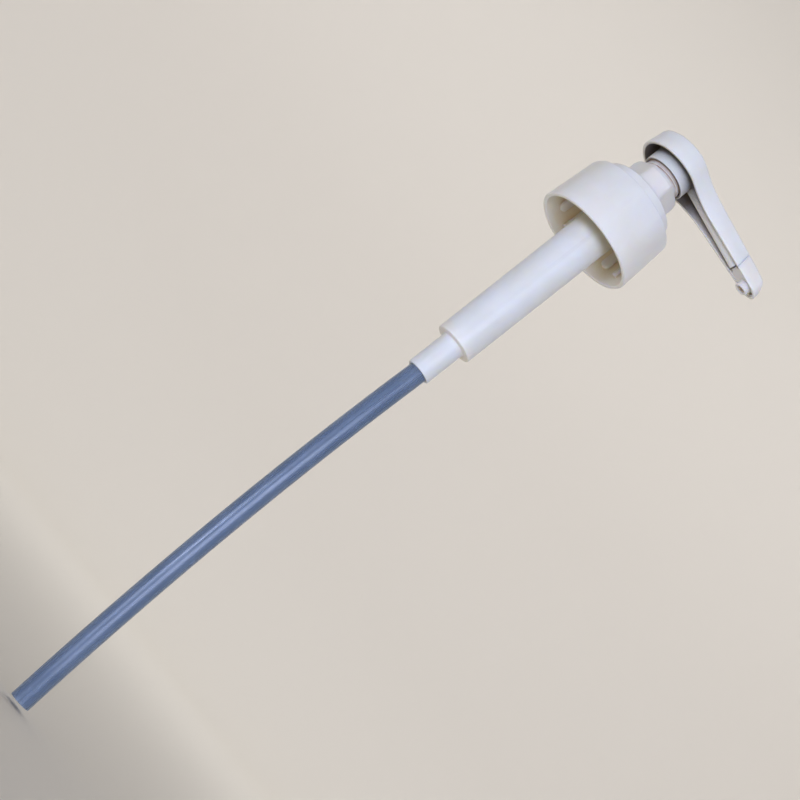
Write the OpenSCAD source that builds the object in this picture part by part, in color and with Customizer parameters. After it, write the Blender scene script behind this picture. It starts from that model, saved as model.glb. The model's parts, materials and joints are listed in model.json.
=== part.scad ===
// Hand-operated plunger pump that screws onto the neck of a jug or can.
// The origin is on the pump's axis, in the plane where the neck gasket seals
// on the mouth of the container. +Z points up to the thumb pad and +X along
// the spout arm. The plunger is drawn pressed right down and locked.

/* [Closure] */
// Outside diameter of the closure at its open rim
rim_d = 54; // [50:0.5:60]
// Outside diameter of the closure at the top of its skirt
skirt_top_d = 50.8; // [48:0.2:52]
// How far the skirt reaches below the sealing plane
skirt_drop = 21; // [18:0.5:26]
// Wall thickness of the closure
closure_wall = 2; // [1.6:0.1:2.4]
// Outside diameter of the raised step on the closure
step_d = 39.4; // [36:0.2:42]
// Height of the raised step above the skirt's shoulder
step_rise = 6; // [4:0.5:7]
// Diameter inside the locking lugs, which the container's neck passes through
lug_bore_d = 45; // [43:0.5:46]

/* [Neck gasket and cylinder] */
// Thickness of the neck gasket
gasket_t = 2; // [1.5:0.25:2.5]
// Diameter of the cylinder's flange
flange_d = 44.4; // [42:0.2:45]
// Outside diameter of the cylinder under the flange
barrel_top_d = 20.8; // [20.4:0.1:21]
// Outside diameter of the cylinder at its lower shoulder
barrel_low_d = 20.1; // [19.6:0.1:20.4]
// Bore of the cylinder
bore_d = 17.4; // [17:0.1:17.8]
// Depth of the cylinder's shoulder below the sealing plane
barrel_depth = 97.8; // [95:0.1:110]
// Outside diameter of the lower spigot
spigot_d = 12.7; // [12.2:0.1:14]
// Length of the lower spigot
spigot_len = 20.4; // [16:0.2:26]

/* [Dip tube] */
// Outside diameter of the dip tube
tube_d = 10; // [9:0.1:10.4]
// Bore of the dip tube
tube_bore_d = 8; // [6.5:0.1:8.4]
// Length of the dip tube below the spigot
tube_len = 217; // [80:1:260]
// Lean of the tube away from the spout arm where it leaves the spigot, in degrees
tube_lean = 1.6; // [0.5:0.1:2]
// Total turn of the tube towards the spout arm, in degrees
tube_bend = 5.7; // [2:0.1:8]

/* [Plunger] */
// Stroke of the plunger from locked down to fully up
stroke = 50; // [40:1:50]
// Outside diameter of the stem
stem_d = 11; // [10.6:0.1:11.2]
// Bore of the stem
stem_bore_d = 7.8; // [7.4:0.1:8]

/* [Head and arm] */
// Diameter of the head's cap at its lower rim
cap_d = 34.6; // [32:0.2:38]
// Height of the cap
cap_h = 10.4; // [9:0.2:12]
// Distance from the pump's axis to the end of the arm
reach = 68.8; // [62:0.2:75]
// Half width that the arm's straight sides would have at the axis
arm_half_w = 10.4; // [9.6:0.1:11]
// Narrowing of each side of the arm for each millimetre outwards
arm_taper = 0.085; // [0.07:0.005:0.09]
// Radius of the blend between the cap and the arm's sides
blend_r = 40; // [34:1:46]
// Downward slope of the arm's lower edge, in degrees
droop = 6.2; // [5:0.1:7]
// Downward slope of the arm's top, in degrees
top_slope = 8.4; // [7.8:0.1:9]
// Distance from the axis to the joint between the arm and its nozzle tip
tip_joint = 52; // [50:0.2:54]
// Wall thickness of the head
head_wall = 1.6; // [1.4:0.1:2]

/* [Hidden] */
$fn = 96;
eps = 0.01;
gap = 0.3;       // turning clearance between faces of different bodies
slip = 0.06;     // radial clearance of a sliding fit
rise = 0.03;     // how far a ball is drawn above its seat
long = 100;      // runs a cut past everything in its way

white = "#e9ebf2";
ivory = "#e8e4d8";
milky = "#b9c7d6";
steel = "#b8bcc2";
rubber = "#3c3f44";

// Closure heights
shoulder_z = 6.4;
step_top_z = shoulder_z + step_rise;
ceiling_z = shoulder_z - closure_wall;
step_ceiling_z = step_top_z - closure_wall;
closure_hole_r = 14.2;
skirt_h = skirt_drop + shoulder_z;

// Locking lugs inside the skirt: four pairs of a thin stop and a round finger
lug_pairs = 4;
lug_first = 27;          // azimuth of the first stop
lug_span = 24;           // angle between a stop and its finger
stop_w = 2.4;
stop_low_z = -15.4;
finger_w = 5;
finger_low_z = -14.2;
lug_depth = 4;           // a lug's radial depth before the skirt trims it
lug_top_z = -0.8;        // the flange and the gasket turn freely above this

// Cylinder heights
flange_low_z = gasket_t;
flange_top_z = ceiling_z - gap;
neck_top_z = 11.6;
neck_r = 13.2;
plug_bore_r = 10.6;
plug_bore_z = 3;
floor_z = -93.6;
seat_hole_r = 2.9;
seat_r = 4.6;
spigot_end_z = -(barrel_depth + spigot_len);
tube_top_z = -99.7;
vent_r = 0.9;
vent_z = -3.2;

// Lower ball and its cage
low_ball_r = 4.76;
seat_apex_z = floor_z - seat_r;
low_ball_z = seat_apex_z + low_ball_r * sqrt(2) + rise;
low_ball_lift = 2.5;
cage_flange_z = floor_z + 2;
cage_r = 6.6;
cage_bore_r = 5.2;
ball_stop_gap = 0.1;     // left over when a ball is fully lifted
cage_stop_z = low_ball_z + low_ball_r + low_ball_lift + ball_stop_gap;
cage_top_z = cage_stop_z + 1.6;
cage_hole_r = 1.8;
cage_slot_w = 4;
cage_slot_z = cage_flange_z + 3.5;
socket_gap = 0.05;       // between the spigot's bore and the tube's own size
socket_swell = 0.04;     // how much the tube's pressed-in end is stretched
socket_overlap = 0.3;

// Return spring, drawn squeezed
spring_h = 22;
spring_wire_r = 0.65;
spring_mean_r = 7.6;
spring_turns = 11;
spring_ring = 18;        // rings in each turn
spring_side = 8;         // sides of the wire
spring_end_gap = 0.05;

// Plunger heights
seat_low_z = cage_flange_z + spring_h;
seat_flange_z = seat_low_z + 1.5;
cup_low_z = seat_flange_z + slip;
piston_h = 10;
piston_top_z = seat_flange_z + piston_h;
piston_r = bore_d / 2 - 0.05;
lip_bevel = 1.2;
lip_face_low = 0.6;
lip_face_high = 1.8;
lip_end = 3.2;
waist_depth = 1.3;
valve_flange_r = 8.2;
valve_top_z = seat_flange_z + 6.1;
high_ball_r = 3.175;
valve_hole_r = 2;
valve_cone_r = 3.2;
high_apex_z = valve_top_z - valve_cone_r;
high_ball_z = high_apex_z + high_ball_r * sqrt(2) + rise;
high_ball_lift = 2;
fin_z = high_ball_z + high_ball_r + high_ball_lift + ball_stop_gap;
fin_h = 4;
fin_t = 1;
fin_reach = 2;
fin_root = 0.4;
stem_top_z = 33;

// Wiper ring and collar
wiper_low_z = piston_top_z + stroke + gap;
wiper_h = 3.4;
collar_low_z = wiper_low_z + wiper_h;
collar_r = 13.7;
collar_top_r = 12.9;
collar_flange_r = 16.2;
collar_flange_z = step_top_z + gap;
collar_flange_t = 1.5;
collar_bevel_z = 22.4;
collar_top_z = 24.6;
collar_flat = 12.2;      // distance from the axis to the foot of each flat
collar_flat_lean = 5;    // how far each flat leans in towards its top, in degrees
collar_flats = [-152, -35, 85];
collar_core_r = 7.6;
upstand_r = 9.9;
upstand_top_z = 30;
guide_z = 21;

// Head heights
rim_z = 32.2;
cap_top_z = rim_z + cap_h;
cap_r = cap_d / 2;
boss_r = 11.7;
boss_bore_r = 10.5;
boss_low_z = 28.2;
hub_r = 7.4;
hub_low_z = 30.6;
level_x = 9.3;           // the arm's lower edge starts to droop here
top_x = 5;               // the arm's top starts to slope here
duct_r = 3.5;
duct_bore_r = 2.4;
duct_slope = 9.5;        // the duct falls a little faster than the arm's top
duct_end_z = 30.3;       // height of the duct's axis at the joint with the tip
web_t = 1.6;
tip_end_r = 5.4;
tip_end_sink = 0.05;     // lets the straight sides run cleanly into the round end
tip_crown_r = 8.5;
tip_crown_lead = 0.15;   // how far the crown's round runs past the tip's end
tip_crown_z = 0.3;       // the crown's centre above the arm's lower edge
tip_floor = 0.5;         // how deep the tip's underside is hollowed
tip_wall = 1.4;
tip_bore_r = 1.5;
plug_len = 6;            // how far the tip plugs into the arm's duct
tip_plug_bore_r = 1.7;
bore_lap = 0.5;          // how far the plug's bore and the tip's bore run past the joint
notch_y = 3.35;
notch_l = 1.4;
notch_w = 1.5;
notch_depth = 2.6;
pocket_x = 65.4;
pocket_l = 1.5;
pocket_w = 3.2;
pocket_top_z = 29;
spout_x = 61.8;
spout_r = 3.4;
spout_bore_r = 2.2;
spout_end_z = 24;

function low_edge(x) = rim_z - tan(droop) * max(0, x - level_x);
function top_edge(x) = cap_top_z - tan(top_slope) * max(0, x - top_x);
function duct_axis(x) = duct_end_z - tan(duct_slope) * (x - tip_joint);
function tip_axis(x) = duct_end_z - tan(droop) * (x - tip_joint);

module ring(r_out, r_in, z0, z1) {
    translate([0, 0, z0])
        difference() {
            cylinder(r = r_out, h = z1 - z0);
            translate([0, 0, -eps]) cylinder(r = r_in, h = z1 - z0 + 2 * eps);
        }
}

// ---- Closure -----------------------------------------------------------

function skirt_r(z) = rim_d / 2
    + (skirt_top_d - rim_d) / 2 * (z + skirt_drop) / skirt_h - closure_wall;

module lug_bar(angle, width, low_z, round_end) {
    rotate(angle)
        translate([lug_bore_d / 2, 0, 0]) {
            translate([0, -width / 2, low_z + (round_end ? width / 2 : 0)])
                cube([lug_depth, width, -low_z - (round_end ? width / 2 : 0)]);
            if (round_end)
                translate([0, 0, low_z + width / 2])
                    rotate([0, 90, 0]) cylinder(d = width, h = lug_depth);
        }
}

module closure_cap() color(white) {
    difference() {
        union() {
            translate([0, 0, -skirt_drop])
                cylinder(r1 = rim_d / 2, r2 = skirt_top_d / 2, h = skirt_h);
            translate([0, 0, shoulder_z - eps])
                cylinder(d = step_d, h = step_rise + eps);
        }
        translate([0, 0, -skirt_drop - eps])
            cylinder(r1 = skirt_r(-skirt_drop), r2 = skirt_r(ceiling_z),
                     h = skirt_drop + ceiling_z + eps);
        translate([0, 0, ceiling_z - eps])
            cylinder(r = step_d / 2 - closure_wall, h = step_ceiling_z - ceiling_z + eps);
        cylinder(r = closure_hole_r, h = long);
    }
    intersection() {
        translate([0, 0, -skirt_drop])
            cylinder(r1 = rim_d / 2 - closure_wall / 2, r2 = skirt_top_d / 2 - closure_wall / 2,
                     h = skirt_h);
        difference() {
            for (i = [0 : lug_pairs - 1]) {
                lug_bar(lug_first + 90 * i, stop_w, stop_low_z, false);
                lug_bar(lug_first + lug_span + 90 * i, finger_w, finger_low_z, true);
            }
            translate([0, 0, lug_top_z]) cylinder(r = flange_d / 2 + 2 * gap, h = long);
        }
    }
}

module neck_gasket() color(rubber)
    ring(flange_d / 2, barrel_top_d / 2 + 0.2, 0, gasket_t);

// ---- Cylinder, cage and balls -------------------------------------------

module pump_cylinder() color(white)
    difference() {
        union() {
            translate([0, 0, -barrel_depth])
                cylinder(d1 = barrel_low_d, d2 = barrel_top_d, h = barrel_depth + flange_low_z);
            translate([0, 0, spigot_end_z]) cylinder(d = spigot_d, h = spigot_len + eps);
            translate([0, 0, flange_low_z])
                cylinder(d = flange_d, h = flange_top_z - flange_low_z);
            translate([0, 0, flange_low_z]) cylinder(r = neck_r, h = neck_top_z - flange_low_z);
        }
        translate([0, 0, floor_z]) cylinder(d = bore_d, h = 2 * long);
        translate([0, 0, plug_bore_z]) cylinder(r = plug_bore_r, h = long);
        translate([0, 0, floor_z - (seat_r - seat_hole_r)])
            cylinder(r1 = seat_hole_r, r2 = seat_r + eps, h = seat_r - seat_hole_r + eps);
        translate([0, 0, tube_top_z - eps]) cylinder(r = seat_hole_r, h = 10);
        translate([0, 0, spigot_end_z - eps])
            cylinder(r = tube_d / 2 + socket_gap, h = tube_top_z - spigot_end_z + eps);
        // Vent that lets air into the container as it empties
        translate([0, 0, vent_z]) rotate([90, 0, 0]) cylinder(r = vent_r, h = long);
    }

// Below the spigot the tube is one long arc, leaning back and turning to +X
module dip_tube() color(milky) {
    bend_r = tube_len / (tube_bend * PI / 180);
    ring(tube_d / 2 + socket_swell, tube_bore_d / 2 - socket_swell, spigot_end_z, tube_top_z);
    translate([0, 0, spigot_end_z + socket_overlap])
        rotate([0, tube_lean, 0])
            translate([bend_r, 0, 0])
                rotate([90, 0, 0])
                    rotate_extrude(angle = tube_bend, start = 180, $fn = 1440)
                        translate([bend_r, 0]) difference() {
                            circle(d = tube_d, $fn = 64);
                            circle(d = tube_bore_d, $fn = 64);
                        }
}

module ball_cage() color(ivory)
    difference() {
        union() {
            translate([0, 0, floor_z]) cylinder(d = bore_d, h = cage_flange_z - floor_z);
            translate([0, 0, floor_z]) cylinder(r = cage_r, h = cage_top_z - floor_z);
        }
        translate([0, 0, floor_z - eps]) cylinder(r = cage_bore_r, h = cage_stop_z - floor_z + eps);
        translate([0, 0, floor_z]) cylinder(r = cage_hole_r, h = long);
        for (a = [0, 90])
            rotate(a)
                translate([-long / 2, -cage_slot_w / 2, cage_slot_z])
                    cube([long, cage_slot_w, cage_stop_z - cage_slot_z]);
    }

module inlet_check_ball() color(steel)
    translate([0, 0, low_ball_z]) sphere(r = low_ball_r);

// ---- Spring --------------------------------------------------------------

spring_steps = spring_turns * spring_ring;
spring_pitch = (spring_h - 2 * spring_wire_r - 2 * spring_end_gap) / spring_turns;

function spring_point(i, j) =
    let (turn = 360 * i / spring_ring, side = 360 * j / spring_side,
         r = spring_mean_r + spring_wire_r * cos(side))
    [r * cos(turn), r * sin(turn),
     spring_pitch * i / spring_ring + spring_wire_r * sin(side)];

module return_spring() color(steel)
    translate([0, 0, cage_flange_z + spring_wire_r + spring_end_gap])
        polyhedron(
            points = [for (i = [0 : spring_steps], j = [0 : spring_side - 1]) spring_point(i, j)],
            faces = concat(
                [[for (j = [0 : spring_side - 1]) j]],
                [for (i = [0 : spring_steps - 1], j = [0 : spring_side - 1])
                    let (a = i * spring_side + j,
                         b = i * spring_side + (j + 1) % spring_side)
                    [a, a + spring_side, b + spring_side, b]],
                [[for (j = [spring_side - 1 : -1 : 0]) spring_steps * spring_side + j]]),
            convexity = 12);

// ---- Plunger ---------------------------------------------------------------

module piston_valve_seat() color(ivory)
    difference() {
        union() {
            translate([0, 0, seat_low_z])
                cylinder(r = valve_flange_r, h = seat_flange_z - seat_low_z);
            translate([0, 0, seat_low_z])
                cylinder(d = stem_bore_d, h = valve_top_z - seat_low_z);
        }
        translate([0, 0, seat_low_z - eps]) cylinder(r = valve_hole_r, h = long);
        translate([0, 0, valve_top_z - (valve_cone_r - valve_hole_r)])
            cylinder(r1 = valve_hole_r, r2 = valve_cone_r + eps,
                     h = valve_cone_r - valve_hole_r + eps);
    }

// Two sealing lips joined by a waist
module piston_cup() color(rubber)
    rotate_extrude()
        polygon([
            [stem_d / 2 + slip, cup_low_z],
            [piston_r - lip_bevel, cup_low_z],
            [piston_r, cup_low_z + lip_face_low],
            [piston_r, cup_low_z + lip_face_high],
            [piston_r - waist_depth, cup_low_z + lip_end],
            [piston_r - waist_depth, piston_top_z - lip_end],
            [piston_r, piston_top_z - lip_face_high],
            [piston_r, piston_top_z - lip_face_low],
            [piston_r - lip_bevel, piston_top_z],
            [stem_d / 2 + slip, piston_top_z]]);

module outlet_check_ball() color(steel)
    translate([0, 0, high_ball_z]) sphere(r = high_ball_r);

module plunger_stem() color(ivory) {
    ring(stem_d / 2, stem_bore_d / 2, seat_flange_z, stem_top_z);
    // Fins that stop the ball and let the liquid past
    for (a = [0, 120, 240])
        rotate(a)
            translate([stem_bore_d / 2 - fin_reach, -fin_t / 2, fin_z])
                cube([fin_reach + fin_root, fin_t, fin_h]);
}

// ---- Wiper and collar --------------------------------------------------------

module stem_wiper() color(rubber)
    ring(bore_d / 2 - slip, stem_d / 2 + slip, wiper_low_z, wiper_low_z + wiper_h);

module lock_collar() color(white)
    difference() {
        union() {
            translate([0, 0, collar_low_z])
                cylinder(r = bore_d / 2 - slip, h = plug_bore_z - collar_low_z);
            translate([0, 0, plug_bore_z])
                cylinder(r = plug_bore_r, h = collar_flange_z - plug_bore_z);
            translate([0, 0, collar_flange_z])
                cylinder(r = collar_flange_r, h = collar_flange_t);
            difference() {
                union() {
                    translate([0, 0, collar_flange_z])
                        cylinder(r = collar_r, h = collar_bevel_z - collar_flange_z);
                    translate([0, 0, collar_bevel_z])
                        cylinder(r1 = collar_r, r2 = collar_top_r,
                                 h = collar_top_z - collar_bevel_z);
                }
                for (a = collar_flats)
                    rotate(a)
                        translate([collar_flat, -long / 2, collar_flange_z + collar_flange_t])
                            rotate([0, -collar_flat_lean, 0])
                                translate([0, 0, -collar_flange_t / 2]) cube(long);
            }
            translate([0, 0, collar_top_z - eps])
                cylinder(r = upstand_r, h = upstand_top_z - collar_top_z + eps);
        }
        translate([0, 0, collar_low_z - eps])
            cylinder(r = collar_core_r, h = guide_z - collar_low_z + eps);
        cylinder(r = stem_d / 2 + slip, h = long);
    }

// ---- Head and nozzle tip --------------------------------------------------------

// Where the blend's centre lies, for the outline of the cap and arm
blend_c = arm_half_w + blend_r * sqrt(1 + pow(arm_taper, 2));
blend_s = cap_r + blend_r;
blend_x = (arm_taper * blend_c + sqrt(pow(arm_taper * blend_c, 2)
    - (1 + pow(arm_taper, 2)) * (pow(blend_c, 2) - pow(blend_s, 2)))) / (1 + pow(arm_taper, 2));
blend_y = blend_c - arm_taper * blend_x;
side_angle = atan(arm_taper);

module arm_outline(inset) {
    end_x = reach - tip_end_r;
    end_r = tip_end_r - inset;
    on_cap = [blend_x, blend_y] * (cap_r - inset) / blend_s;
    on_side = [blend_x - (blend_r + inset) * sin(side_angle),
               blend_y - (blend_r + inset) * cos(side_angle)];
    on_end = [end_x, 0] + (end_r - tip_end_sink) * [sin(side_angle), cos(side_angle)];
    circle(r = cap_r - inset);
    translate([end_x, 0]) circle(r = end_r);
    difference() {
        polygon([[0, 0], on_cap, on_side, on_end,
                 [on_end[0], -on_end[1]], [on_side[0], -on_side[1]], [on_cap[0], -on_cap[1]]]);
        for (s = [-1, 1])
            translate([blend_x, s * blend_y]) circle(r = blend_r + inset, $fn = 360);
    }
}

// Side view of the cap and arm between its lower edge and its top
module arm_side(inset, below) {
    far = reach + 10;
    rotate([90, 0, 0])
        linear_extrude(height = 2 * cap_d, center = true)
            polygon([
                [-cap_d, rim_z - below], [level_x, rim_z - below],
                [far, low_edge(far) - below], [far, top_edge(far) - inset],
                [top_x, cap_top_z - inset], [-cap_d, cap_top_z - inset]]);
}

module arm_body(inset, below)
    intersection() {
        linear_extrude(height = long) arm_outline(inset);
        arm_side(inset, below);
    }

// Everything outwards of the joint between arm and tip, square to the droop
module beyond_joint()
    translate([tip_joint, 0, (low_edge(tip_joint) + top_edge(tip_joint)) / 2])
        rotate([0, droop, 0])
            translate([0, -long / 2, -long / 2]) cube(long);

// A round bar that slopes down from a height at x0 to a farther x1
module sloping_rod(r, x0, x1, z0, slope)
    translate([x0, 0, z0])
        rotate([0, 90 + slope, 0])
            cylinder(r = r, h = (x1 - x0) / cos(slope));

module duct_rod(r, x0, x1) sloping_rod(r, x0, x1, duct_axis(x0), duct_slope);

module actuator_head() color(white)
    difference() {
        union() {
            difference() {
                arm_body(0, 0);
                arm_body(head_wall, rim_z / 2);
            }
            ring(boss_r, boss_bore_r, boss_low_z, cap_top_z - head_wall + eps);
            ring(hub_r, stem_d / 2, hub_low_z, cap_top_z - head_wall + eps);
            translate([0, 0, stem_top_z])
                cylinder(r = stem_d / 2 + eps, h = cap_top_z - head_wall - stem_top_z);
            duct_rod(duct_r, stem_d / 2, tip_joint + 1);
            // Web that hangs the duct from the roof of the arm
            intersection() {
                arm_body(head_wall / 2, 0);
                translate([hub_r - 1, -web_t / 2, 0])
                    cube([tip_joint - hub_r, web_t, long]);
                rotate([0, duct_slope, 0])
                    translate([0, -web_t, duct_axis(0) * cos(duct_slope)])
                        cube([long, 2 * web_t, long]);
            }
        }
        translate([0, 0, stem_top_z - eps])
            cylinder(d = stem_bore_d, h = duct_axis(0) + 1 - stem_top_z);
        duct_rod(duct_bore_r, 0, tip_joint + 2);
        beyond_joint();
    }

// Everything below the tip's hollowed underside
module below_floor()
    rotate([0, droop, 0])
        translate([0, -long / 2, (rim_z + tan(droop) * level_x) * cos(droop) + tip_floor - long])
            cube(long);

module nozzle_tip() color(white)
    difference() {
        union() {
            difference() {
                intersection() {
                    arm_body(0, 0);
                    beyond_joint();
                    // The crown of the tip rolls over to its front
                    translate([reach - tip_crown_r + tip_crown_lead, 0,
                               low_edge(reach) + tip_crown_z])
                        rotate([90, 0, 0]) {
                            cylinder(r = tip_crown_r, h = long, center = true);
                            translate([-long, -long / 2, -long / 2]) cube(long);
                            translate([-long / 2, -long, -long / 2]) cube(long);
                        }
                }
                intersection() {
                    arm_body(tip_wall, rim_z / 2);
                    below_floor();
                }
            }
            translate([spout_x, 0, spout_end_z])
                cylinder(r = spout_r, h = tip_axis(spout_x) - spout_end_z);
            duct_rod(duct_bore_r, tip_joint - plug_len, tip_joint + 1);
        }
        duct_rod(tip_plug_bore_r, tip_joint - plug_len - 1, tip_joint + bore_lap);
        sloping_rod(tip_bore_r, tip_joint - bore_lap, spout_x, tip_axis(tip_joint - bore_lap), droop);
        translate([spout_x, 0, spout_end_z - eps])
            cylinder(r = spout_bore_r, h = tip_axis(spout_x) - spout_end_z);
        translate([pocket_x, -pocket_w / 2, 0]) cube([pocket_l, pocket_w, pocket_top_z]);
        // Two notches beside the joint, open downwards
        for (s = [-1, 1])
            translate([tip_joint - 1, s * notch_y - notch_w / 2, 0])
                cube([notch_l + 1, notch_w, low_edge(tip_joint) + notch_depth]);
    }

closure_cap();
neck_gasket();
pump_cylinder();
dip_tube();
lock_collar();
stem_wiper();
ball_cage();
inlet_check_ball();
return_spring();
piston_cup();
piston_valve_seat();
plunger_stem();
outlet_check_ball();
actuator_head();
nozzle_tip();
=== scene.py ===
"""Plunger dispensing pump: moulded shells, translucent tube and studio stage."""

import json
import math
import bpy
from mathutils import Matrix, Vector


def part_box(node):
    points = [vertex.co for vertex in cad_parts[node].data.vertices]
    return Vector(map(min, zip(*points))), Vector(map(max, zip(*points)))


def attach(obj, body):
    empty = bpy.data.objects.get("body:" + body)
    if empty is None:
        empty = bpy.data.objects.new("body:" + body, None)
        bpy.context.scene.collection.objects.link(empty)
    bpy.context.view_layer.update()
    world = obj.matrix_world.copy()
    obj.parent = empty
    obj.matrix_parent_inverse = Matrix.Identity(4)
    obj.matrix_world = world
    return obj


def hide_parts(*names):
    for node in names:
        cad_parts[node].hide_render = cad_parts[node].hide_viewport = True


bl_info = {
    "name": "Plunger Dispensing Pump",
    "version": (1, 0, 0),
    "blender": (4, 5, 0),
    "location": "3D View > Sidebar > Pump",
    "description": "Builds the detailed pieces of a plunger dispensing pump",
    "category": "Object",
}

import bmesh
import bpy
from mathutils import Matrix, Vector

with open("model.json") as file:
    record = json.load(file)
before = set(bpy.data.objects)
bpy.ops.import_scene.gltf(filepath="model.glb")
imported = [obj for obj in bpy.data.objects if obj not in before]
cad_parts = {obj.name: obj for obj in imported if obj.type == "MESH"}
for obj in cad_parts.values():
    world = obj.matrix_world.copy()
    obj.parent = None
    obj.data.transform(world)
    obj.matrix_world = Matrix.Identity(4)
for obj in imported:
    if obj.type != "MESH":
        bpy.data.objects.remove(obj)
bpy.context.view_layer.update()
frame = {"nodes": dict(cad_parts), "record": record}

MM = 0.001

# ---- Sizes of the moulded shapes, in millimetres ----

EDGE_STEPS = 5  # faces across a rounded edge
FINE_TURN = 288  # faces round a turned shape; the other TURN values are the same
SHARP_DEG = 38.0  # edges steeper than this stay crisp
# How far the ambient occlusion looks that paints shade into the recesses
PAINTED_SHADE_REACH = 24.0  # walls further away than this don't shelter a recess
PEEL_MM = 0.9  # width of the moulding's orange peel
BARREL_PEEL_MM = 1.2

# Closure
SHOULDER_Z = 6.4
STEP_R = 19.7
WALL = 2.0
CLOSURE_HOLE_R = 14.2
LUG_INNER_R = 22.5
LUG_OUTER_R = 25.4
LUG_FIRST_DEG = 27.0
LUG_SPAN_DEG = 24.0
LUG_TOP_Z = -0.8
STOP_W = 2.4
STOP_LOW_Z = -15.4
FINGER_W = 5.0
FINGER_LOW_Z = -14.2
LUG_EDGE = 0.25
STOP_CORNER = 0.4
LUG_SPINE_RISE = 4.0  # the edge's inset points at a spine that ends this far over the middle
# The closure's painted shade is left off the lugs inwards of this radius
LUG_WHITE_R = LUG_INNER_R + 1.1  # the lugs stay white inwards of this
LUG_LEVELS = (  # how deep into the wall, and how far the outline is drawn in there
    (0.0, LUG_EDGE),
    (0.1, 0.12),
    (LUG_EDGE, 0.0),
    (LUG_OUTER_R - LUG_INNER_R, 0.0),
)
PAD_MIDDLE_DEG = -75.6  # the first of four shallow pads round the skirt
PAD_HALF_DEG = 15.6
PAD_DEPTH = 0.4
OUTER_SKIN = 0.8  # points within this depth of the skirt's outside belong to it

# Cylinder
FLANGE_LOW_Z = 2.0
FLANGE_TOP_Z = 4.1
NECK_R = 13.2
NECK_TOP_Z = 11.6
PLUG_R = 10.6
PLUG_Z = 3.0
BORE_R = 8.7
FLOOR_Z = -93.6
BARREL_TOP_R = 10.4
BARREL_LOW_R = 10.05
BARREL_END_Z = -97.8
SPIGOT_R = 6.35
SPIGOT_END_Z = -118.2
SOCKET_R = 5.05
SOCKET_TOP_Z = -99.7
SEAT_HOLE_R = 2.9
VENT_R = 0.9
VENT_Z = -3.2
VENT_REACH = 20.0
VENT_TURN = 24
BARREL_TURN = 192

# Tube
TUBE_TURN = 72
TUBE_ROWS = 120  # faces along the tube
TUBE_GRIP = 1.5  # the tube is straight from its top to this far above the spigot's end

# Collar
COLLAR_LOW_Z = -4.4
COLLAR_PLUG_R = 8.64
COLLAR_CORE_R = 7.6
GUIDE_Z = 21.0
GUIDE_R = 5.56
COLLAR_FLANGE_R = 16.2
COLLAR_FLANGE_Z = 12.7
COLLAR_FLANGE_TOP_Z = 14.2
COLLAR_R = 13.7
COLLAR_TOP_R = 12.9
COLLAR_BEVEL_Z = 22.4
COLLAR_TOP_Z = 24.6
COLLAR_FLATS_DEG = (-152.0, -35.0, 85.0)
COLLAR_FLAT_LEAN = math.radians(5.0)
COLLAR_BLEND = 9.0  # how tightly a flat turns into the round wall, per mm
UPSTAND_R = 9.9
UPSTAND_TOP_Z = 30.0
THREAD_CREST_R = 10.28
THREAD_PITCH = 2.6
THREAD_TURNS = 1.9
THREAD_START_Z = 24.9
THREAD_ROOT_W = 1.5
THREAD_CREST_W = 0.6
THREAD_SINK = 0.3  # how deep the thread's root lies in the upstand
THREAD_FADE = 0.06  # share of the thread's length over which each end fades
THREAD_STEPS = 220
COLLAR_TURN = 720  # enough for the flats' edges

# Head, arm and tip
RIM_Z = 32.2
CAP_TOP_Z = 42.6
CAP_R = 17.3
CAP_DRAFT = 0.5  # the cap is this much wider at its rim, and narrower at its top
CAP_DRAFT_SPAN = (9.5, 28.0)  # the draft fades out over this stretch of the arm
LEVEL_X = 9.3  # the underside is level up to here, and the top up to TOP_X
TOP_X = 5.0
TOP_BLEND = 6.0  # the top's turn is spread over this far on either side of TOP_X
DROOP = math.radians(6.2)
TOP_SLOPE = math.radians(8.4)
ARM_HALF_W = 10.4  # half the arm's width, if its sides ran on to the axis
ARM_TAPER = 0.085
BLEND_R = 40.0
JOINT_X = 52.0
LEAN_REACH = 3.0  # the joint's lean dies out over this far on either side
REACH = 68.8
TIP_END_R = 5.4
HEAD_WALL = 1.6
HEAD_EDGE = 1.0
RIM_EDGE = 0.3
INNER_EDGE = 0.6
BOSS_R = 11.7
BOSS_BORE_R = 10.5
BOSS_LOW_Z = 28.2
BOSS_TURN = 160
HUB_R = 7.4
HUB_LOW_Z = 30.6
HUB_TURN = 128
STEM_R = 5.5
DUCT_R = 3.5
DUCT_SLOPE = math.radians(9.5)
DUCT_END_Z = 30.3
WEB_T = 1.6
CROWN_R = 8.5  # the round at the tip's front, with its centre's place
CROWN_LEAD = 0.15
CROWN_RISE = 0.3
CROWN_BLEND = 2.4  # how tightly the top turns into the crown, per mm
TIP_WALL = 1.4
TIP_FLOOR = 0.5  # how deep the tip's underside is hollowed
SPOUT_X = 61.8
SPOUT_R = 3.4
SPOUT_BORE_R = 2.2
SPOUT_END_Z = 24.0
SPOUT_TOP_Z = 30.0
SPOUT_AXIS_R = 0.01  # the spout's outline stops just short of its axis
SPOUT_ROOF = 0.6
SPOUT_TURN = 96
BORE_TURN = 72
POCKET = ((65.4, 66.9), (-1.6, 1.6), (20.0, 29.0))
NOTCH_X = (51.0, 53.4)
NOTCH_Y = (2.6, 4.1)
NOTCH_Z = (20.0, 30.1)
SIDE = math.atan(ARM_TAPER)
JOINT_ROWS = (0.0, 0.06, 0.18, 0.6)  # rows of faces beside the joint, by distance
JOINT_RELIEF = (0.16, 0.07, 0.0, 0.0)  # how far each of them is drawn in, as a rounded edge
LIP_STEPS = 2  # faces across each edge of the rim
ARM_ROW, TIP_ROW = 0.9, 0.6  # from the last of those rows to the next one
ARM_STEPS, BLEND_STEPS, CAP_STEPS = 26, 22, 64  # rows along the head's outline
TIP_STEPS, TIP_END_STEPS = 20, 30  # rows along the tip's outline

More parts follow.
